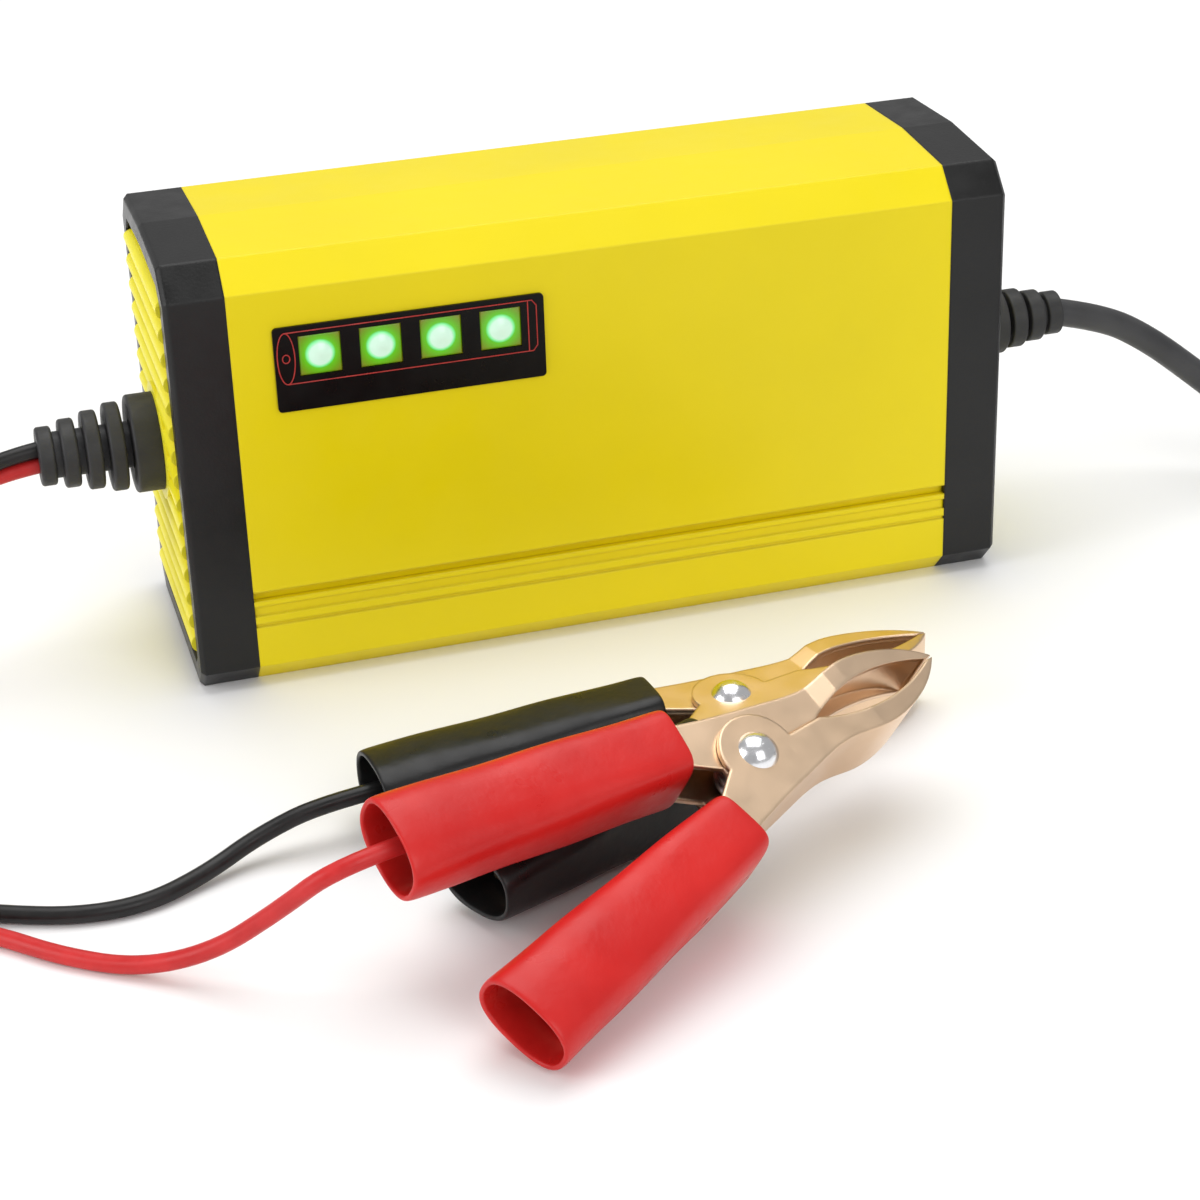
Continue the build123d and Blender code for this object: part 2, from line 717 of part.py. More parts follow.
ferrule_distance = 30.0
ferrule_radius = 1.9
ferrule_length = 6.0
ferrule_offset = 0.1


def make_ferrule():
    """The crimped barrel that holds the wire inside the handle."""
    with BuildPart() as ferrule:
        with BuildSketch(handle_plane(ferrule_distance, ferrule_offset)):
            Circle(ferrule_radius)
        extrude(amount=ferrule_length / 2, both=True)
    return ferrule.part


upper_sleeve = make_sleeve()
clamp_pieces = {
    "fixed_lever": make_lever(1, True),
    "moving_lever": make_lever(-1, False),
    "rivet": make_rivet(),
    "spring": make_spring(),
    "wire_sleeve": upper_sleeve,
    "free_sleeve": mirror(upper_sleeve, about=Plane.XZ),
    "wire_crimp": make_ferrule(),
}


def clamp_seat(rivet_place, heading, tilt, rise):
    """Where a clamp lies: its jaws' heading on the floor, its lean to the front and its tips' rise."""
    turn, lean, pitch = radians(heading), radians(tilt), radians(rise)
    forward = Vector(cos(turn) * cos(pitch), sin(turn) * cos(pitch), sin(pitch))
    upward = Vector(sin(turn) * sin(lean), -cos(turn) * sin(lean), cos(lean))
    normal = (upward - forward * upward.dot(forward)).normalized()
    return Plane(origin=rivet_place, x_dir=forward, z_dir=normal)


clamp_seats = {
    "red": clamp_seat((-2.5, -86.5, 14.4), 26.4, 31.5, 2.0),
    "black": clamp_seat((4.0, -62.0, 6.3), 16.0, 0.0, 0.0),
}
for colour, seat in clamp_seats.items():
    for piece_name, piece in clamp_pieces.items():
        save(seat.location * piece, f"{colour}_{piece_name}")
    print(colour, "clamp rivet", seat.origin, "axis", seat.z_dir)


def handle_point(seat, distance):
    """A point on the wire handle's line, that far behind the sleeve's front end."""
    return seat.from_local_coords(handle_plane(distance, ferrule_offset).origin)


# ---------------------------------------------------------------- coils of put-away lead
def coil_solid(centre, radii, wound_height, wound_width):
    """The outer shape of a round coil: a flat ring that holds every turn."""
    with BuildPart() as coil:
        with BuildSketch():
            with Locations(centre):
                Circle(max(radii) + wound_width / 2)
                Circle(min(radii) - wound_width / 2, mode=Mode.SUBTRACT)
        extrude(amount=wound_height)
    return coil.part


def coil_length(radii, turns):
    """Length wound on, from the turns made at each radius."""
    return 2 * pi * sum(radius * count for radius, count in zip(radii, turns))


mains_coil_centre = (150.0, 4.0)
mains_coil_radii = (27.4, 23.2, 19.0)
mains_coil_turns = (1.4, 2.0, 1.6)
save(
    coil_solid(mains_coil_centre, mains_coil_radii, 2 * mains_diameter, mains_diameter),
    "mains_coil",
)
output_coil_centre = (-118.0, -42.0)
output_coil_radii = (15.8, 11.2)
output_coil_turns = (1.73, 1.6)
save(
    coil_solid(output_coil_centre, output_coil_radii, 2 * wire_diameter, 2 * wire_diameter),
    "output_coil",
)

# ---------------------------------------------------------------- the leads' free stretches
bite = 0.6
sag = boot_height - 2.0
routes = {
    "mains_lead": [
        (mains_boot_end - bite, 0.0, boot_height + 0.1),
        (85.2, 0.0, sag),
        (92.8, -0.4, 25.2),
        (100.6, -1.9, 18.9),
        (108.8, -4.9, 11.8),
        (117.8, -9.2, 5.7),
        (127.0, -14.3, 2.6),
        (136.3, -19.7, mains_diameter / 2),
    ],
    "mains_tail": [
        (136.3, -19.7, 1.5 * mains_diameter),
        (144.2, -24.6, 6.2),
        (150.6, -31.0, 6.4),
        (154.0, -38.4, 7.1),
        (155.1, -46.5, plug_height / 2),
    ],
    "black_wire_start": [
        (bite - output_boot_end, 0.0, boot_height + 1.2),
        (-84.6, -0.3, 32.0),
        (-92.6, -1.7, 27.9),
        (-99.5, -4.7, 20.2),
        (-104.8, -9.0, 12.1),
        (-109.5, -13.8, 5.2),
        (-114.6, -19.1, 1.6),
        (-120.4, -24.5, wire_diameter / 2),
        (-127.8, -31.2, wire_diameter / 2),
    ],
    "red_wire_start": [
        (bite - output_boot_end, 0.0, boot_height - 1.2),
        (-84.6, 0.1, 29.6),
        (-92.2, -0.4, 25.9),
        (-99.2, -2.5, 18.6),
        (-105.5, -6.6, 11.0),
        (-111.0, -12.0, 4.9),
        (-116.3, -17.4, 1.6),
        (-122.0, -22.7, wire_diameter / 2),
        (-129.4, -29.4, wire_diameter / 2),
    ],
    "black_wire_end": [
        (-123.0, -55.7, 1.5 * wire_diameter),
        (-113.1, -59.3, 3.1),
        (-103.0, -63.2, 1.7),
        (-92.8, -67.8, 1.2),
        (-84.0, -71.2, 1.2),
        (-75.6, -71.2, 1.2),
        (-67.6, -67.2, 1.4),
        (-59.8, -63.4, 3.4),
    ],
    "red_wire_end": [
        (-123.8, -58.0, 1.5 * wire_diameter),
        (-113.9, -61.8, 3.0),
        (-104.0, -66.4, 1.7),
        (-94.8, -71.4, 1.2),
        (-87.2, -79.2, 1.2),
        (-78.6, -85.0, 1.3),
        (-70.0, -89.4, 4.6),
        (-62.6, -94.2, 11.8),
    ],
}
for colour, seat in clamp_seats.items():
    for distance in (sleeve_back - sleeve_front + 6.0, ferrule_distance + ferrule_length / 2):
        routes[f"{colour}_wire_end"].append(tuple(handle_point(seat, distance)))

for name, route in routes.items():
    diameter = mains_diameter if name.startswith("mains") else wire_diameter
    radii = bend_radii(route)
    lead, length = tube(route, diameter, radii)
    save(lead, name)
    swept = lead.volume / (pi * (diameter / 2) ** 2 * length)
    print(name, "length", round(length, 1), "volume ratio", round(swept, 4))
    print("   bend radii", [round(radius, 1) for radius in radii])
    print("   last points", [tuple(round(value, 2) for value in point) for point in route[-2:]])
print("mains coil length", round(coil_length(mains_coil_radii, mains_coil_turns), 1))
print("output coil length", round(coil_length(output_coil_radii, output_coil_turns), 1))

# ---------------------------------------------------------------- the plug on the mains lead
plug_seat = Plane(origin=(155.0, -46.0, plug_height / 2), x_dir=(0.1, -0.995, 0), z_dir=(0, 0, 1))
relief_length = 16.0
relief_step = relief_length / 4
with BuildPart() as plug_relief:
    with BuildSketch(Plane.XZ) as relief_section:
        with Locations((relief_length / 2, 1.5)):
            Rectangle(relief_length, 3.0)
        for index in range(4):
            radius = 3.4 + 0.4 * index
            with Locations(((index + 0.5) * relief_step + 0.4, radius / 2)):
                Rectangle(relief_step - 0.8, radius)
    revolve(axis=Axis.X)
save(plug_seat.location * plug_relief.part, "plug_relief")

with BuildPart() as plug_body:
    plug_middle = relief_length + plug_length / 2
    with BuildSketch() as plug_outline:
        with Locations((plug_middle, 0)):
            RectangleRounded(plug_length, plug_width, 3.0)
    extrude(amount=plug_height / 2, both=True)
    with Locations(*[(relief_length + 4.0, side * plug_width / 2, 0) for side in (-1, 1)]):
        Cylinder(5.0, 2 * plug_height, mode=Mode.SUBTRACT)
    fillet(plug_body.faces().filter_by(Axis.Z).edges(), 1.6)
save(plug_seat.location * plug_body.part, "plug_body")

with BuildPart() as plug_blades:
    blade_x = relief_length + plug_length + blade_length / 2
    with Locations(*[(blade_x, side * blade_spacing / 2, 0) for side in (-1, 1)]):
        Box(blade_length, blade_thickness, blade_width)
    tips = plug_blades.faces().sort_by(Axis.X)[-2:].edges().filter_by(Axis.Z)
    chamfer(tips, 0.5)
    with Locations(*[(blade_x + 0.25 * blade_length, side * blade_spacing / 2, 0) for side in (-1, 1)]):
        Cylinder(1.5, 2 * blade_thickness, rotation=(90, 0, 0), mode=Mode.SUBTRACT)
save(plug_seat.location * plug_blades.part, "plug_blades")
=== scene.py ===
import json
from math import cos, pi, radians, sin

import bpy
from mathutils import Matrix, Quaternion, Vector


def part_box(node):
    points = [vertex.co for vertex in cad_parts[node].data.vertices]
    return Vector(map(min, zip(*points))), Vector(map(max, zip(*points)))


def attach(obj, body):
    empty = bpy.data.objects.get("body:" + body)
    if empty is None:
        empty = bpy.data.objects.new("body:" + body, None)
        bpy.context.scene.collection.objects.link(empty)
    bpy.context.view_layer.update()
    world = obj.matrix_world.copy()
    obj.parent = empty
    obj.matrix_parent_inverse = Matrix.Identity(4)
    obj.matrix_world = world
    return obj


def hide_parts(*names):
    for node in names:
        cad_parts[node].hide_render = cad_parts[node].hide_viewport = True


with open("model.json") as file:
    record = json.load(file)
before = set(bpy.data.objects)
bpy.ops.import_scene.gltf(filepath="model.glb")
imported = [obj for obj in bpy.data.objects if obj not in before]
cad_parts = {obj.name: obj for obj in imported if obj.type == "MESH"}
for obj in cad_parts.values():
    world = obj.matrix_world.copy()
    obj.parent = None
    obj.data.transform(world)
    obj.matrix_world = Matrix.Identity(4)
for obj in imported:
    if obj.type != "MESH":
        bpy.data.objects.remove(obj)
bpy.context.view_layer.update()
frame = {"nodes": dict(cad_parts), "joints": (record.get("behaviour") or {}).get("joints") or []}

# ------------------------------------------------------------------ viewpoint, floor and light
# A long lens looks down at the front of the case from its left. The floor is a pale sheet, and the
# light comes from a broad panel overhead, a tall one on the left and a weak one at the front.
camera_place = Vector((-0.09947, -0.375, 0.19745))
aim_point = Vector((0.0063, 0.00979, -0.01052))
camera_roll = radians(-1.98)
lens = bpy.data.cameras.new("viewpoint")
lens.sensor_width = 36.0
lens.lens = 86.1
lens.clip_start = 0.01
camera = bpy.data.objects.new("viewpoint", lens)
camera.location = camera_place
camera.rotation_mode = "QUATERNION"
look = (aim_point - camera_place).to_track_quat("-Z", "Y")
camera.rotation_quaternion = look @ Quaternion((0, 0, 1), camera_roll)
bpy.context.scene.collection.objects.link(camera)
bpy.context.scene.camera = camera

floor_mesh = bpy.data.meshes.new("floor")
floor_reach = 3.0
floor_corners = [(x, y, 0) for x, y in ((-1, -1), (1, -1), (1, 1), (-1, 1))]
floor_mesh.from_pydata([Vector(corner) * floor_reach for corner in floor_corners], [], [(0, 1, 2, 3)])
floor = bpy.data.objects.new("floor", floor_mesh)
bpy.context.scene.collection.objects.link(floor)
floor_paper = bpy.data.materials.new("pale_floor")
floor_paper.use_nodes = True
floor_paper.node_tree.nodes["Principled BSDF"].inputs["Base Color"].default_value = (0.93, 0.93, 0.93, 1)
floor_paper.node_tree.nodes["Principled BSDF"].inputs["Roughness"].default_value = 0.8
floor_mesh.materials.append(floor_paper)

sky = bpy.data.worlds.new("studio")
sky.use_nodes = True
sky.node_tree.nodes["Background"].inputs["Color"].default_value = (1, 1, 1, 1)
sky.node_tree.nodes["Background"].inputs["Strength"].default_value = 0.46
bpy.context.scene.world = sky
bpy.context.scene.view_settings.view_transform = "Standard"
for panel_name, place, size, power in (
    ("overhead_panel", (0.05, 0.15, 0.75), 0.7, 4.2),
    ("left_panel", (-0.75, -0.1, 0.35), 0.5, 2.4),
    ("front_panel", (0.25, -0.9, 0.55), 0.6, 3.2),
):
    glow = bpy.data.lights.new(panel_name, "AREA")
    glow.size = size
    glow.energy = power
    panel = bpy.data.objects.new(panel_name, glow)
    panel.location = place
    panel.rotation_mode = "QUATERNION"
    panel.rotation_quaternion = (-Vector(place)).to_track_quat("-Z", "Y")
    bpy.context.scene.collection.objects.link(panel)

# ------------------------------------------------------------------ mains lead
# Round flex in a smooth PVC sheath, 4.2 mm thick. It leaves the boot on the right, falls to the
# floor, and what isn't in use is wound into a flat coil, two layers of three rings, up to the plug.


def start_finish(name, colour, roughness, metallic=0.0, sheen=0.5):
    """A new material with its plain values set."""
    finish = bpy.data.materials.new(name)
    finish.use_nodes = True
    shader = finish.node_tree.nodes["Principled BSDF"]
    shader.inputs["Base Color"].default_value = (*colour, 1)
    shader.inputs["Roughness"].default_value = roughness
    shader.inputs["Metallic"].default_value = metallic
    shader.inputs["Specular IOR Level"].default_value = sheen
    return finish, shader


def speckle(finish, size, detail=3.0):
    """Noise over the piece, its blobs about as large as size, in metres."""
    tree = finish.node_tree
    place = tree.nodes.new("ShaderNodeTexCoord")
    noise = tree.nodes.new("ShaderNodeTexNoise")
    noise.inputs["Scale"].default_value = 1 / size
    noise.inputs["Detail"].default_value = detail
    tree.links.new(place.outputs["Object"], noise.inputs["Vector"])
    return noise.outputs["Fac"]


def mottle(finish, shader, dark, light, size):
    """Colour that drifts between two shades."""
    ramp = finish.node_tree.nodes.new("ShaderNodeValToRGB")
    ramp.color_ramp.elements[0].position = 0.32
    ramp.color_ramp.elements[0].color = (*dark, 1)
    ramp.color_ramp.elements[1].position = 0.68
    ramp.color_ramp.elements[1].color = (*light, 1)
    finish.node_tree.links.new(speckle(finish, size), ramp.inputs["Fac"])
    finish.node_tree.links.new(ramp.outputs["Color"], shader.inputs["Base Color"])


def scuff(finish, shader, smooth, rough, size):
    """Gloss that drifts, as on a surface that has been handled."""
    spread = finish.node_tree.nodes.new("ShaderNodeMapRange")
    spread.inputs["From Min"].default_value = 0.3
    spread.inputs["From Max"].default_value = 0.7
    spread.inputs["To Min"].default_value = smooth
    spread.inputs["To Max"].default_value = rough
    finish.node_tree.links.new(speckle(finish, size), spread.inputs["Value"])
    finish.node_tree.links.new(spread.outputs["Result"], shader.inputs["Roughness"])


def grain(finish, shader, size, depth, soft_edge=0.0):
    """The mould's fine texture, and edges that catch the light as rounded ones do."""
    tree = finish.node_tree
    bump = tree.nodes.new("ShaderNodeBump")
    bump.inputs["Distance"].default_value = depth
    tree.links.new(speckle(finish, size), bump.inputs["Height"])
    if soft_edge:
        edge = tree.nodes.new("ShaderNodeBevel")
        edge.samples = 6
        edge.inputs["Radius"].default_value = soft_edge
        tree.links.new(edge.outputs["Normal"], bump.inputs["Normal"])
    tree.links.new(bump.outputs["Normal"], shader.inputs["Normal"])


def ease(value):
    """0 before a move, 1 after it, and smooth between."""
    share = min(max(value, 0.0), 1.0)
    return share * share * (3 - 2 * share)


def wound(centre, outer_radius, ring_step, rings, turns, start_angle, thickness, aside=0.0):
    """Points of a flat coil: rings from the outside in, a climb, and the second layer back out."""
    points = []
    steps_per_turn = 24
    for step in range(round(turns * steps_per_turn) + 1):
        turn = step / steps_per_turn
        angle = radians(start_angle + 360 * turn)
        inward = sum(ease((turn - ring) / 0.2 + 1) for ring in range(1, rings))
        outward = sum(ease((turn - rings - ring - 0.4) / 0.2) for ring in range(rings - 1))
        radius = outer_radius - ring_step * (inward - outward) + aside
        height = thickness * (0.5 + ease((turn - rings + 0.4) / 0.25))
        points.append((centre[0] + radius * cos(angle), centre[1] + radius * sin(angle), height))
    return points


def lay_cord(name, points, diameter, finish):
    """A round cord along one smooth curve through its control points."""
    line = bpy.data.curves.new(name, "CURVE")
    line.dimensions = "3D"
    line.bevel_depth = diameter / 2
    line.bevel_resolution = 6
    line.resolution_u = 8
    line.use_fill_caps = True
    spline = line.splines.new("NURBS")
    spline.points.add(len(points) - 1)
    for control, place in zip(spline.points, points):
        control.co = (*place, 1)
    spline.order_u = 3
    spline.use_endpoint_u = True
    line.materials.append(finish)
    cord = bpy.data.objects.new(name, line)
    bpy.context.scene.collection.objects.link(cord)
    return cord


def coat_nodes(finish, *names):
    """Give carried-over pieces their finish."""
    for name in names:
        piece = frame["nodes"][name]
        piece.data.materials.clear()
        piece.data.materials.append(finish)


sheath_finish, sheath_shader = start_finish("mains_sheath", (0.04, 0.04, 0.042), 0.42, sheen=0.45)
mottle(sheath_finish, sheath_shader, (0.034, 0.034, 0.036), (0.048, 0.048, 0.05), 0.006)
scuff(sheath_finish, sheath_shader, 0.34, 0.52, 0.003)
grain(sheath_finish, sheath_shader, 0.0004, 0.00002)

mains_diameter = 0.0042
mains_to_floor = [
    (0.0768, 0.0, 0.0317),
    (0.0852, 0.0, 0.0296),
    (0.0928, -0.0004, 0.0252),
    (0.1006, -0.0019, 0.0189),
    (0.1088, -0.0049, 0.0118),
    (0.1178, -0.0092, 0.0057),
    (0.1270, -0.0143, 0.0026),
]
mains_to_plug = [
    (0.1442, -0.0246, 0.0062),
    (0.1506, -0.0310, 0.0064),
    (0.1540, -0.0384, 0.0071),
    (0.1551, -0.0465, 0.0075),
]
mains_wound = wound((0.150, 0.004), 0.0274, mains_diameter, 3, 5.0, 240, mains_diameter)
mains_points = mains_to_floor + mains_wound + mains_to_plug
mains_cord = lay_cord("mains_cord", mains_points, mains_diameter, sheath_finish)
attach(mains_cord, "charger")
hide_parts("mains_lead", "mains_coil", "mains_tail")

# ------------------------------------------------------------------ output leads
# Two single insulated wires, 2.3 mm each, red and black, side by side out of the left boot. They
# share one small coil, then part and run to the two clamps, where each ends in a crimped ferrule.
wire_diameter = 0.0023
wire_routes = {
    "black": (
        [
            (-0.0768, 0.0, 0.0328),
            (-0.0846, -0.0003, 0.0320),
            (-0.0926, -0.0017, 0.0279),
            (-0.0995, -0.0047, 0.0202),
            (-0.1048, -0.0090, 0.0121),
            (-0.1095, -0.0138, 0.0052),
            (-0.1146, -0.0191, 0.0016),
            (-0.1204, -0.0245, 0.00115),
        ],
        [
            (-0.1131, -0.0593, 0.0031),
            (-0.1030, -0.0632, 0.0017),
            (-0.0928, -0.0678, 0.0012),
            (-0.0840, -0.0712, 0.0012),
            (-0.0756, -0.0712, 0.0012),
            (-0.0676, -0.0672, 0.0014),
            (-0.0598, -0.0634, 0.0034),
            (-0.05086, -0.06298, 0.0063),
            (-0.03876, -0.06161, 0.0063),
        ],
        -0.00115,
        (0.009, 0.009, 0.009),
        (0.016, 0.015, 0.015),
    ),
    "red": (
        [
            (-0.0768, 0.0, 0.0304),
            (-0.0846, 0.0001, 0.0296),
            (-0.0922, -0.0004, 0.0259),
            (-0.0992, -0.0025, 0.0186),
            (-0.1055, -0.0066, 0.0110),
            (-0.1110, -0.0120, 0.0049),
            (-0.1163, -0.0174, 0.0016),
            (-0.1220, -0.0227, 0.00115),
        ],
        [
            (-0.1139, -0.0618, 0.0030),
            (-0.1040, -0.0664, 0.0017),
            (-0.0948, -0.0714, 0.0012),
            (-0.0872, -0.0792, 0.0012),
            (-0.0786, -0.0850, 0.0013),
            (-0.0700, -0.0894, 0.0046),
            (-0.0626, -0.0942, 0.0118),
            (-0.05555, -0.09934, 0.01996),
            (-0.04401, -0.09553, 0.01932),
        ],
        0.00115,
        (0.50, 0.018, 0.018),
        (0.60, 0.028, 0.028),
    ),
}
for colour, (to_floor, to_clamp, aside, dark, light) in wire_routes.items():
    wire_finish, wire_shader = start_finish(f"{colour}_insulation", light, 0.36, sheen=0.3)
    mottle(wire_finish, wire_shader, dark, light, 0.004)
    scuff(wire_finish, wire_shader, 0.28, 0.46, 0.002)
    grain(wire_finish, wire_shader, 0.0003, 0.000012)
    turns = wound((-0.118, -0.042), 0.0158, 2 * wire_diameter, 2, 3.33, 132, wire_diameter, aside)
    cord = lay_cord(f"{colour}_output_wire", to_floor + turns + to_clamp, wire_diameter, wire_finish)
    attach(cord, "charger")
    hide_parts(f"{colour}_wire_start", f"{colour}_wire_end", "output_coil")

# ------------------------------------------------------------------ battery clamps: levers and rivet
# Each lever is folded from 0.8 mm steel sheet and plated with copper, so its cheeks are pale and
# its hollow is a deep orange. One domed rivet holds the pair, with a coil spring round it.
plate_finish, plate_shader = start_finish("copper_plate", (0.82, 0.60, 0.41), 0.27, metallic=1.0)
mottle(plate_finish, plate_shader, (0.79, 0.57, 0.38), (0.84, 0.62, 0.43), 0.02)
scuff(plate_finish, plate_shader, 0.3, 0.38, 0.004)
grain(plate_finish, plate_shader, 0.0006, 0.000006, soft_edge=0.0005)
rivet_finish, rivet_shader = start_finish("nickel_rivet", (0.82, 0.82, 0.84), 0.2, metallic=1.0)
scuff(rivet_finish, rivet_shader, 0.14, 0.3, 0.0008)
grain(rivet_finish, rivet_shader, 0.0005, 0.00001)
spring_finish, spring_shader = start_finish("spring_wire", (0.55, 0.55, 0.57), 0.32, metallic=1.0)
mottle(spring_finish, spring_shader, (0.45, 0.45, 0.46), (0.62, 0.62, 0.64), 0.002)
grain(spring_finish, spring_shader, 0.0004, 0.00001)
tin_finish, tin_shader = start_finish("tinned_crimp", (0.7, 0.7, 0.71), 0.35, metallic=1.0)
scuff(tin_finish, tin_shader, 0.25, 0.5, 0.0008)
for colour in ("red", "black"):
    coat_nodes(plate_finish, f"{colour}_fixed_lever", f"{colour}_moving_lever")
    coat_nodes(rivet_finish, f"{colour}_rivet")
    coat_nodes(spring_finish, f"{colour}_spring")
    coat_nodes(tin_finish, f"{colour}_wire_crimp")

# ------------------------------------------------------------------ battery clamps: sleeves
# Each handle has a soft PVC sleeve, dipped in one piece and pushed on. It is squared where the
# lever fills it and opens into a rounded mouth, and it bulges a little where the metal presses.
clamp_headings = {"red": (26.4, 2.0), "black": (16.0, 0.0)}
sleeve_front = 0.008
sleeve_length = 0.039
sleeve_wall = 0.0008
rim_round = 0.00028
mouth_turn = 0.0001
press_depth = 0.00014
handle_offset = 0.0065
handle_slope = 0.1684
sleeve_sections = ((0.0, 0.0094, 0.0122, 4.6), (0.5, 0.0114, 0.0106, 3.2), (1.0, 0.0132, 0.0092, 2.5))


def section_at(share):
    """Width, height and squareness of the sleeve, that share of the way to its mouth."""
    first, second = sleeve_sections[0:2] if share < 0.5 else sleeve_sections[1:3]
    blend = (share - first[0]) / (second[0] - first[0])
    return [a + (b - a) * blend for a, b in zip(first[1:], second[1:])]


def sleeve_ring(seat, hand, share, inset, segments=40):
    """One loop round the sleeve, drawn in from its outer skin."""
    origin, forward, aside, normal = seat
    width, height, square = section_at(min(max(share, 0.0), 1.0))
    distance = share * sleeve_length
    slope = Vector((sin(handle_slope), cos(handle_slope)))
    loop = []
    for index in range(segments):
        angle = 2 * pi * index / segments
        ca, sa = cos(angle), sin(angle)
        press = press_depth * sin(9 * share + hand) * cos(2 * angle + 5 * share)
        reach_u = width / 2 - inset + press
        reach_v = height / 2 - inset + press
        u = reach_u * abs(ca) ** (2 / square) * (1 if ca >= 0 else -1)
        v = reach_v * abs(sa) ** (2 / square) * (1 if sa >= 0 else -1)
        along = -sleeve_front - distance + u * slope.x
        across = hand * (handle_offset + handle_slope * distance + u * slope.y)
        loop.append(origin + forward * along + aside * across + normal * v)
    return loop


def make_sleeve(name, seat, hand, finish):
    """A thick soft tube: the outer skin, a rounded rim, the bore and the front rim."""
    stations = [0.0, 0.02, 0.07] + [0.07 + 0.86 * step / 12 for step in range(1, 13)] + [0.98, 1.0]
    skin = [(share, 0.0) for share in stations]
    skin[0] = (0.003, mouth_turn)
    skin[-1] = (0.997, mouth_turn)
    mouth_rim = [(1.0, rim_round), (1.0, sleeve_wall - rim_round)]
    bore = [(0.997 if share == 1.0 else share, sleeve_wall) for share in reversed(stations)]
    front_rim = [(0.0, sleeve_wall - rim_round), (0.0, rim_round)]
    course = skin + mouth_rim + bore + front_rim
    loops = [sleeve_ring(seat, hand, share, inset) for share, inset in course]
    count = len(loops[0])
    faces = []
    for ring in range(len(loops)):
        near = ring * count
        far = (ring + 1) % len(loops) * count
        for index in range(count):
            step = (index + 1) % count
            quad = (near + index, near + step, far + step, far + index)
            faces.append(quad if hand > 0 else quad[::-1])
    mesh = bpy.data.meshes.new(name)
    mesh.from_pydata([point for loop in loops for point in loop], [], faces)
    mesh.shade_smooth()
    mesh.materials.append(finish)
    sleeve = bpy.data.objects.new(name, mesh)
    bpy.context.scene.collection.objects.link(sleeve)
    rounding = sleeve.modifiers.new("rounding", "SUBSURF")
    rounding.levels = 1
    rounding.render_levels = 2
    return sleeve


sleeve_colours = {
    "red": ((0.53, 0.013, 0.012), (0.63, 0.02, 0.017)),
    "black": ((0.006, 0.006, 0.006), (0.011, 0.011, 0.011)),
}
joints = {joint["name"]: joint for joint in frame["joints"]}
for colour, (dark, light) in sleeve_colours.items():
    sleeve_finish, sleeve_shader = start_finish(f"{colour}_sleeve", light, 0.34, sheen=0.3)
    mottle(sleeve_finish, sleeve_shader, dark, light, 0.012)
    scuff(sleeve_finish, sleeve_shader, 0.26, 0.44, 0.005)
    grain(sleeve_finish, sleeve_shader, 0.0016, 0.00006)
    hinge = joints[f"{colour}_clamp_hinge"]
    heading, rise = (radians(angle) for angle in clamp_headings[colour])
    forward = Vector((cos(heading) * cos(rise), sin(heading) * cos(rise), sin(rise)))
    normal = -Vector(hinge["axis"]).normalized()
    seat = (Vector(hinge["pos_m"]), forward, normal.cross(forward), normal)
    for hand, node, body in ((1, "wire_sleeve", "charger"), (-1, "free_sleeve", f"{colour}_moving")):
        sleeve = make_sleeve(f"{colour}_{node}_skin", seat, hand, sleeve_finish)
        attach(sleeve, body)
        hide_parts(f"{colour}_{node}")

# ------------------------------------------------------------------ mains plug
# A two-blade plug moulded in PVC onto the lead's far end, with a ringed strain relief at its neck
# and two stamped brass blades with a hole near each tip.
coat_nodes(sheath_finish, "plug_body", "plug_relief")
blade_finish, blade_shader = start_finish("plug_blade_brass", (0.80, 0.70, 0.45), 0.25, metallic=1.0)
mottle(blade_finish, blade_shader, (0.72, 0.62, 0.38), (0.84, 0.75, 0.52), 0.003)
scuff(blade_finish, blade_shader, 0.18, 0.36, 0.001)
coat_nodes(blade_finish, "plug_blades")

# ------------------------------------------------------------------ strain relief boots
# Each lead leaves the case through a ringed boot of grey rubber. A flange behind the end panel
# holds it, and its rings shrink towards the lead so that it bends evenly.
boot_finish, boot_shader = start_finish("boot_rubber", (0.028, 0.028, 0.029), 0.5, sheen=0.35)
mottle(boot_finish, boot_shader, (0.022, 0.022, 0.023), (0.034, 0.034, 0.035), 0.004)
scuff(boot_finish, boot_shader, 0.42, 0.62, 0.002)
grain(boot_finish, boot_shader, 0.0005, 0.00003, soft_edge=0.0003)
coat_nodes(boot_finish, "output_boot", "mains_boot")

# ------------------------------------------------------------------ housing: two yellow shells
# The housing is two shells of yellow ABS, a deep upper one and a shallow lower one with two moulded
# lines below their joint. The mould has a fine spark texture, so the plastic has a soft sheen.
shell_finish, shell_shader = start_finish("case_yellow", (0.80, 0.65, 0.0), 0.4, sheen=0.3)
mottle(shell_finish, shell_shader, (0.78, 0.635, 0.0), (0.82, 0.665, 0.0), 0.03)
scuff(shell_finish, shell_shader, 0.32, 0.42, 0.006)
grain(shell_finish, shell_shader, 0.0003, 0.000012, soft_edge=0.0005)
coat_nodes(shell_finish, "upper_shell", "lower_shell")

# ------------------------------------------------------------------ housing: end frames and panels
# A black ABS frame closes each end of the shells, and screws from below hold it. A ribbed yellow
# panel sits in the frame, with air slots between its ribs and a round pad for the boot.
frame_finish, frame_shader = start_finish("frame_black", (0.004, 0.004, 0.004), 0.32, sheen=0.36)
mottle(frame_finish, frame_shader, (0.003, 0.003, 0.003), (0.006, 0.006, 0.006), 0.008)
scuff(frame_finish, frame_shader, 0.28, 0.4, 0.004)
grain(frame_finish, frame_shader, 0.0004, 0.00002, soft_edge=0.0006)
coat_nodes(frame_finish, "left_end_frame", "right_end_frame")
panel_finish, panel_shader = start_finish("panel_yellow", (0.90, 0.80, 0.02), 0.4, sheen=0.3)
mottle(panel_finish, panel_shader, (0.87, 0.77, 0.015), (0.92, 0.83, 0.03), 0.012)
grain(panel_finish, panel_shader, 0.0004, 0.00002, soft_edge=0.0003)
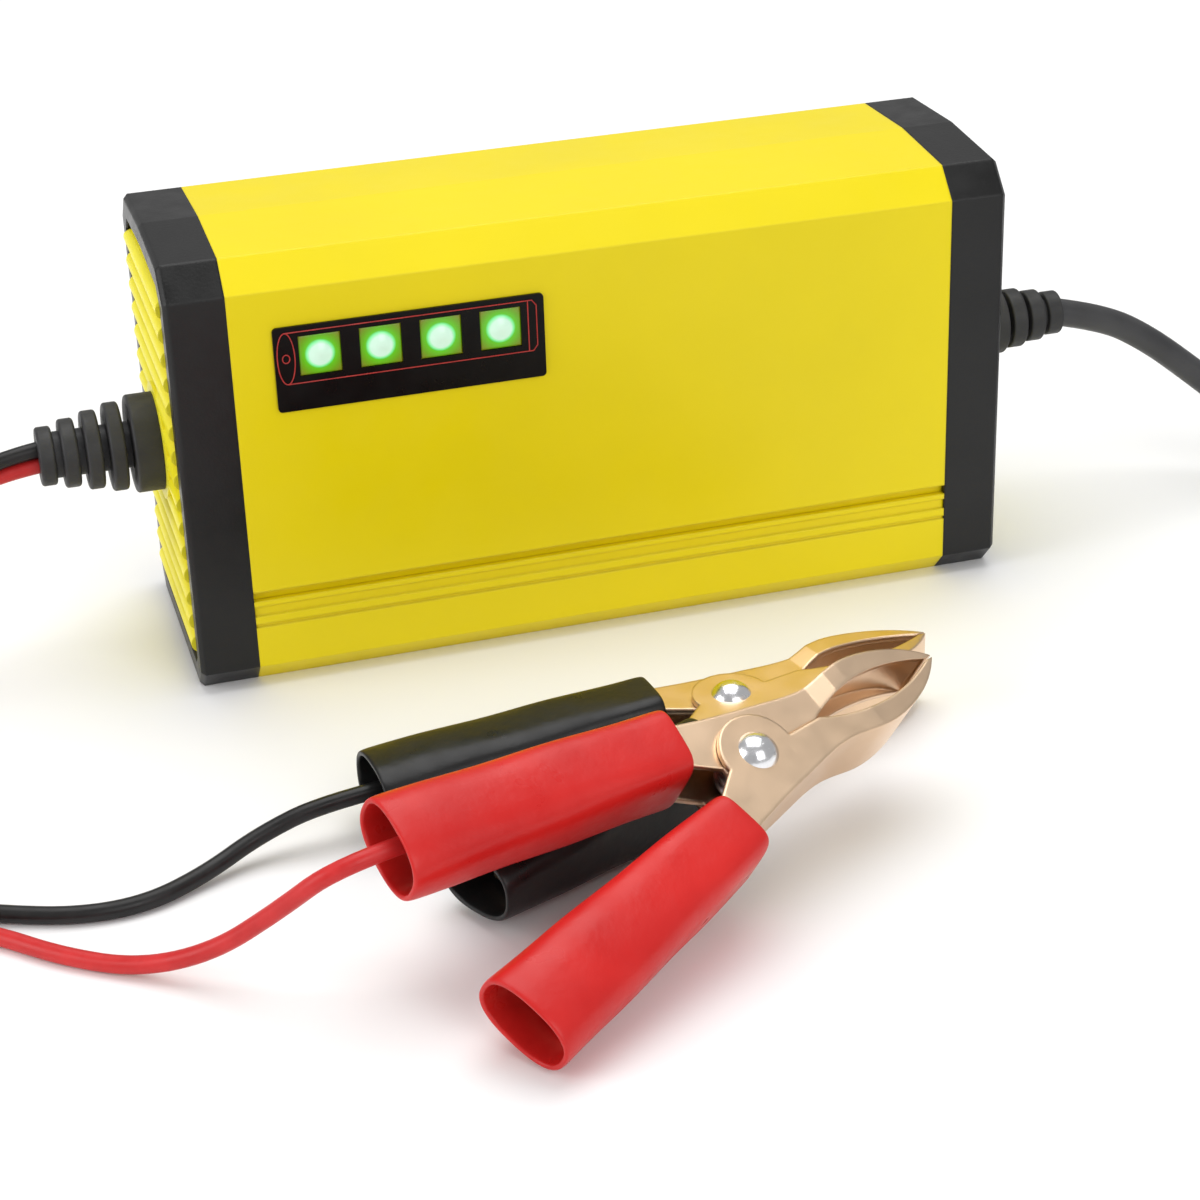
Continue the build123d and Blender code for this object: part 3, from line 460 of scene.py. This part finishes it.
coat_nodes(panel_finish, "left_end_panel", "right_end_panel")
screw_finish, screw_shader = start_finish("zinc_screw", (0.55, 0.55, 0.56), 0.35, metallic=1.0)
scuff(screw_finish, screw_shader, 0.25, 0.5, 0.0008)
coat_nodes(screw_finish, "case_screws")

# ------------------------------------------------------------------ charge display: label
# A black printed film is glued round the four windows. Its only print here is the thin red outline
# of a round battery cell, lying on its side, that frames the windows.
label_finish, label_shader = start_finish("label_film", (0.002, 0.002, 0.002), 0.3, sheen=0.15)
mottle(label_finish, label_shader, (0.0015, 0.0015, 0.0015), (0.003, 0.003, 0.003), 0.003)
scuff(label_finish, label_shader, 0.24, 0.36, 0.004)
coat_nodes(label_finish, "display_label")
ink_finish, ink_shader = start_finish("red_ink", (0.45, 0.02, 0.015), 0.4)
mottle(ink_finish, ink_shader, (0.36, 0.014, 0.012), (0.5, 0.026, 0.02), 0.0015)
label_low, label_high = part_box("display_label")
ink_plane = label_low.y - 0.00003
ink_width = 0.00009
cell_middle = label_high.z - 0.0045
cell_half = 0.0037
cell_left = label_low.x + 0.0016
cell_right = label_high.x - 0.0011


def ink_line(name, points, closed):
    """A printed line on the film, a hair thick."""
    line = bpy.data.curves.new(name, "CURVE")
    line.dimensions = "3D"
    line.bevel_depth = ink_width
    line.bevel_resolution = 1
    spline = line.splines.new("POLY")
    spline.points.add(len(points) - 1)
    for control, (x, z) in zip(spline.points, points):
        control.co = (x, ink_plane, z, 1)
    spline.use_cyclic_u = closed
    line.materials.append(ink_finish)
    print_piece = bpy.data.objects.new(name, line)
    bpy.context.scene.collection.objects.link(print_piece)
    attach(print_piece, "charger")


def oval(x, z, half_width, half_height, count=36):
    """Points of an oval on the film."""
    angles = [2 * pi * index / count for index in range(count)]
    return [(x + half_width * cos(angle), z + half_height * sin(angle)) for angle in angles]


ink_line("cell_end_print", oval(cell_left, cell_middle, 0.0012, cell_half), True)
ink_line("cell_terminal_print", oval(cell_left, cell_middle, 0.0005, 0.0006, 16), True)
cell_body = [
    (cell_left, cell_middle + cell_half),
    (cell_right - 0.0006, cell_middle + cell_half),
    (cell_right, cell_middle + cell_half - 0.0008),
    (cell_right, cell_middle - cell_half + 0.0008),
    (cell_right - 0.0006, cell_middle - cell_half),
    (cell_left, cell_middle - cell_half),
]
ink_line("cell_body_print", cell_body, False)
cell_cap_length = 0.0012
cell_cap = cell_right - cell_cap_length
cell_seam = [(cell_cap, cell_middle + cell_half), (cell_cap, cell_middle - cell_half)]
ink_line("cell_cap_print", cell_seam, False)

# ------------------------------------------------------------------ charge display: windows
# Four windows of clear plastic, each with a low dome over a green LED. The charge lights all four:
# the dome is nearly white, and the green spreads from it and fades towards the window's edge.
window_low, window_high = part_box("display_lenses")
window_count = 4
window_size = 0.0056
window_pitch = (window_high.x - window_low.x - window_size) / (window_count - 1)
window_middle = (window_low.z + window_high.z) / 2
window_face = label_high.y - 0.0002
dome_radius = 0.0019
dome_rise = 0.0007
glow_radius = 0.0037
steps_across = 28


def window_height(offset_x, offset_z):
    """How far a point of the window stands out of the case's face."""
    reach = (offset_x**2 + offset_z**2) ** 0.5
    if reach >= dome_radius:
        return 0.0
    return dome_rise * (1 - (reach / dome_radius) ** 2)


def glow_at(offset_x, offset_z):
    """Brightness of the window: 1 on the dome's crown, falling to its corners."""
    reach = (offset_x**2 + offset_z**2) ** 0.5
    return max(0.0, 1 - reach / glow_radius)


window_verts = []
window_faces = []
window_glow = []
for window in range(window_count):
    centre_x = window_low.x + window_size / 2 + window * window_pitch
    first = len(window_verts)
    for row in range(steps_across + 1):
        for column in range(steps_across + 1):
            offset_x = window_size * (column / steps_across - 0.5)
            offset_z = window_size * (row / steps_across - 0.5)
            stand = window_height(offset_x, offset_z)
            window_verts.append((centre_x + offset_x, window_face - stand, window_middle + offset_z))
            window_glow.append(glow_at(offset_x, offset_z))
    side = steps_across + 1
    for row in range(steps_across):
        for column in range(steps_across):
            corner = first + row * side + column
            window_faces.append((corner, corner + 1, corner + side + 1, corner + side))
    back = len(window_verts)
    edge = [first + column for column in range(steps_across)]
    edge += [first + row * side + steps_across for row in range(steps_across)]
    edge += [first + steps_across * side + column for column in range(steps_across, 0, -1)]
    edge += [first + row * side for row in range(steps_across, 0, -1)]
    for index in edge:
        x, _, z = window_verts[index]
        window_verts.append((x, window_high.y, z))
        window_glow.append(0.0)
    for index in range(len(edge)):
        following = (index + 1) % len(edge)
        window_faces.append((edge[following], edge[index], back + index, back + following))
    window_faces.append(tuple(back + index for index in range(len(edge))))
window_mesh = bpy.data.meshes.new("charge_windows")
window_mesh.from_pydata(window_verts, [], window_faces)
glow_layer = window_mesh.attributes.new("glow", "FLOAT", "POINT")
glow_layer.data.foreach_set("value", window_glow)
window_mesh.shade_smooth()

window_finish, window_shader = start_finish("lit_window", (0.2, 0.6, 0.15), 0.18)
window_tree = window_finish.node_tree
glow_reader = window_tree.nodes.new("ShaderNodeAttribute")
glow_reader.attribute_name = "glow"
glow_ramp = window_tree.nodes.new("ShaderNodeValToRGB")
glow_ramp.color_ramp.elements[0].color = (0.14, 0.17, 0.01, 1)
glow_ramp.color_ramp.elements[1].color = (0.45, 0.62, 0.50, 1)
for position, shade in (
    (0.2, (0.10, 0.26, 0.006)),
    (0.43, (0.08, 0.40, 0.01)),
    (0.50, (0.16, 0.66, 0.24)),
    (0.60, (0.46, 0.66, 0.53)),
):
    glow_ramp.color_ramp.elements.new(position).color = (*shade, 1)
window_tree.links.new(glow_reader.outputs["Fac"], glow_ramp.inputs["Fac"])
window_tree.links.new(glow_ramp.outputs["Color"], window_shader.inputs["Base Color"])
window_tree.links.new(glow_ramp.outputs["Color"], window_shader.inputs["Emission Color"])
window_shader.inputs["Emission Strength"].default_value = 0.55
window_mesh.materials.append(window_finish)
windows = bpy.data.objects.new("charge_windows", window_mesh)
bpy.context.scene.collection.objects.link(windows)
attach(windows, "charger")
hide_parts("display_lenses")

# ------------------------------------------------------------------ inside the case
# The circuit board slides in rails of the lower shell and carries the mains and output stages. All
# of it is bought components: moulded, dipped, sleeved or taped, each with its maker's usual finish.
component_finishes = {
    "led_epoxy": (
        ("status_leds",),
        (0.15, 0.6, 0.15),
        (0.3, 0.9, 0.35),
        0.15,
        0.0,
    ),
    "solder_mask": (
        ("circuit_board", "led_board"),
        (0.01, 0.1, 0.03),
        (0.02, 0.16, 0.05),
        0.3,
        0.0,
    ),
    "foam": (
        ("led_board_pads",),
        (0.15, 0.15, 0.15),
        (0.28, 0.28, 0.28),
        0.9,
        0.0,
    ),
    "moulded_epoxy": (
        (
            "control_chip",
            "bridge_rectifier",
            "optocoupler",
            "switching_transistor",
            "output_diode",
            "mains_fuse",
        ),
        (0.012, 0.012, 0.013),
        (0.03, 0.03, 0.032),
        0.5,
        0.0,
    ),
    "dipped_blue": (
        ("safety_capacitor", "surge_varistor"),
        (0.02, 0.08, 0.35),
        (0.04, 0.14, 0.5),
        0.3,
        0.0,
    ),
    "film_box": (
        ("line_filter_capacitor",),
        (0.62, 0.42, 0.03),
        (0.75, 0.52, 0.05),
        0.4,
        0.0,
    ),
    "shrink_sleeve": (
        ("bulk_capacitor", "output_capacitors"),
        (0.008, 0.01, 0.03),
        (0.015, 0.02, 0.06),
        0.28,
        0.0,
    ),
    "ferrite": (
        ("line_choke", "transformer_core"),
        (0.03, 0.03, 0.032),
        (0.07, 0.07, 0.072),
        0.65,
        0.0,
    ),
    "polyester_tape": (
        ("transformer_winding",),
        (0.55, 0.38, 0.02),
        (0.75, 0.55, 0.05),
        0.3,
        0.0,
    ),
    "extruded_aluminium": (
        ("primary_heatsink", "output_heatsink"),
        (0.6, 0.6, 0.62),
        (0.8, 0.8, 0.82),
        0.35,
        1.0,
    ),
    "nylon_socket": (
        ("display_socket", "display_cable"),
        (0.6, 0.6, 0.57),
        (0.78, 0.78, 0.74),
        0.45,
        0.0,
    ),
    "inner_insulation": (
        ("mains_leads_inside", "output_leads_inside"),
        (0.2, 0.02, 0.02),
        (0.3, 0.04, 0.03),
        0.4,
        0.0,
    ),
}
for finish_name, (members, dark, light, roughness, metallic) in component_finishes.items():
    component_finish, component_shader = start_finish(finish_name, light, roughness, metallic)
    mottle(component_finish, component_shader, dark, light, 0.002)
    scuff(component_finish, component_shader, 0.85 * roughness, 1.1 * roughness, 0.001)
    grain(component_finish, component_shader, 0.0005, 0.00002)
    coat_nodes(component_finish, *members)
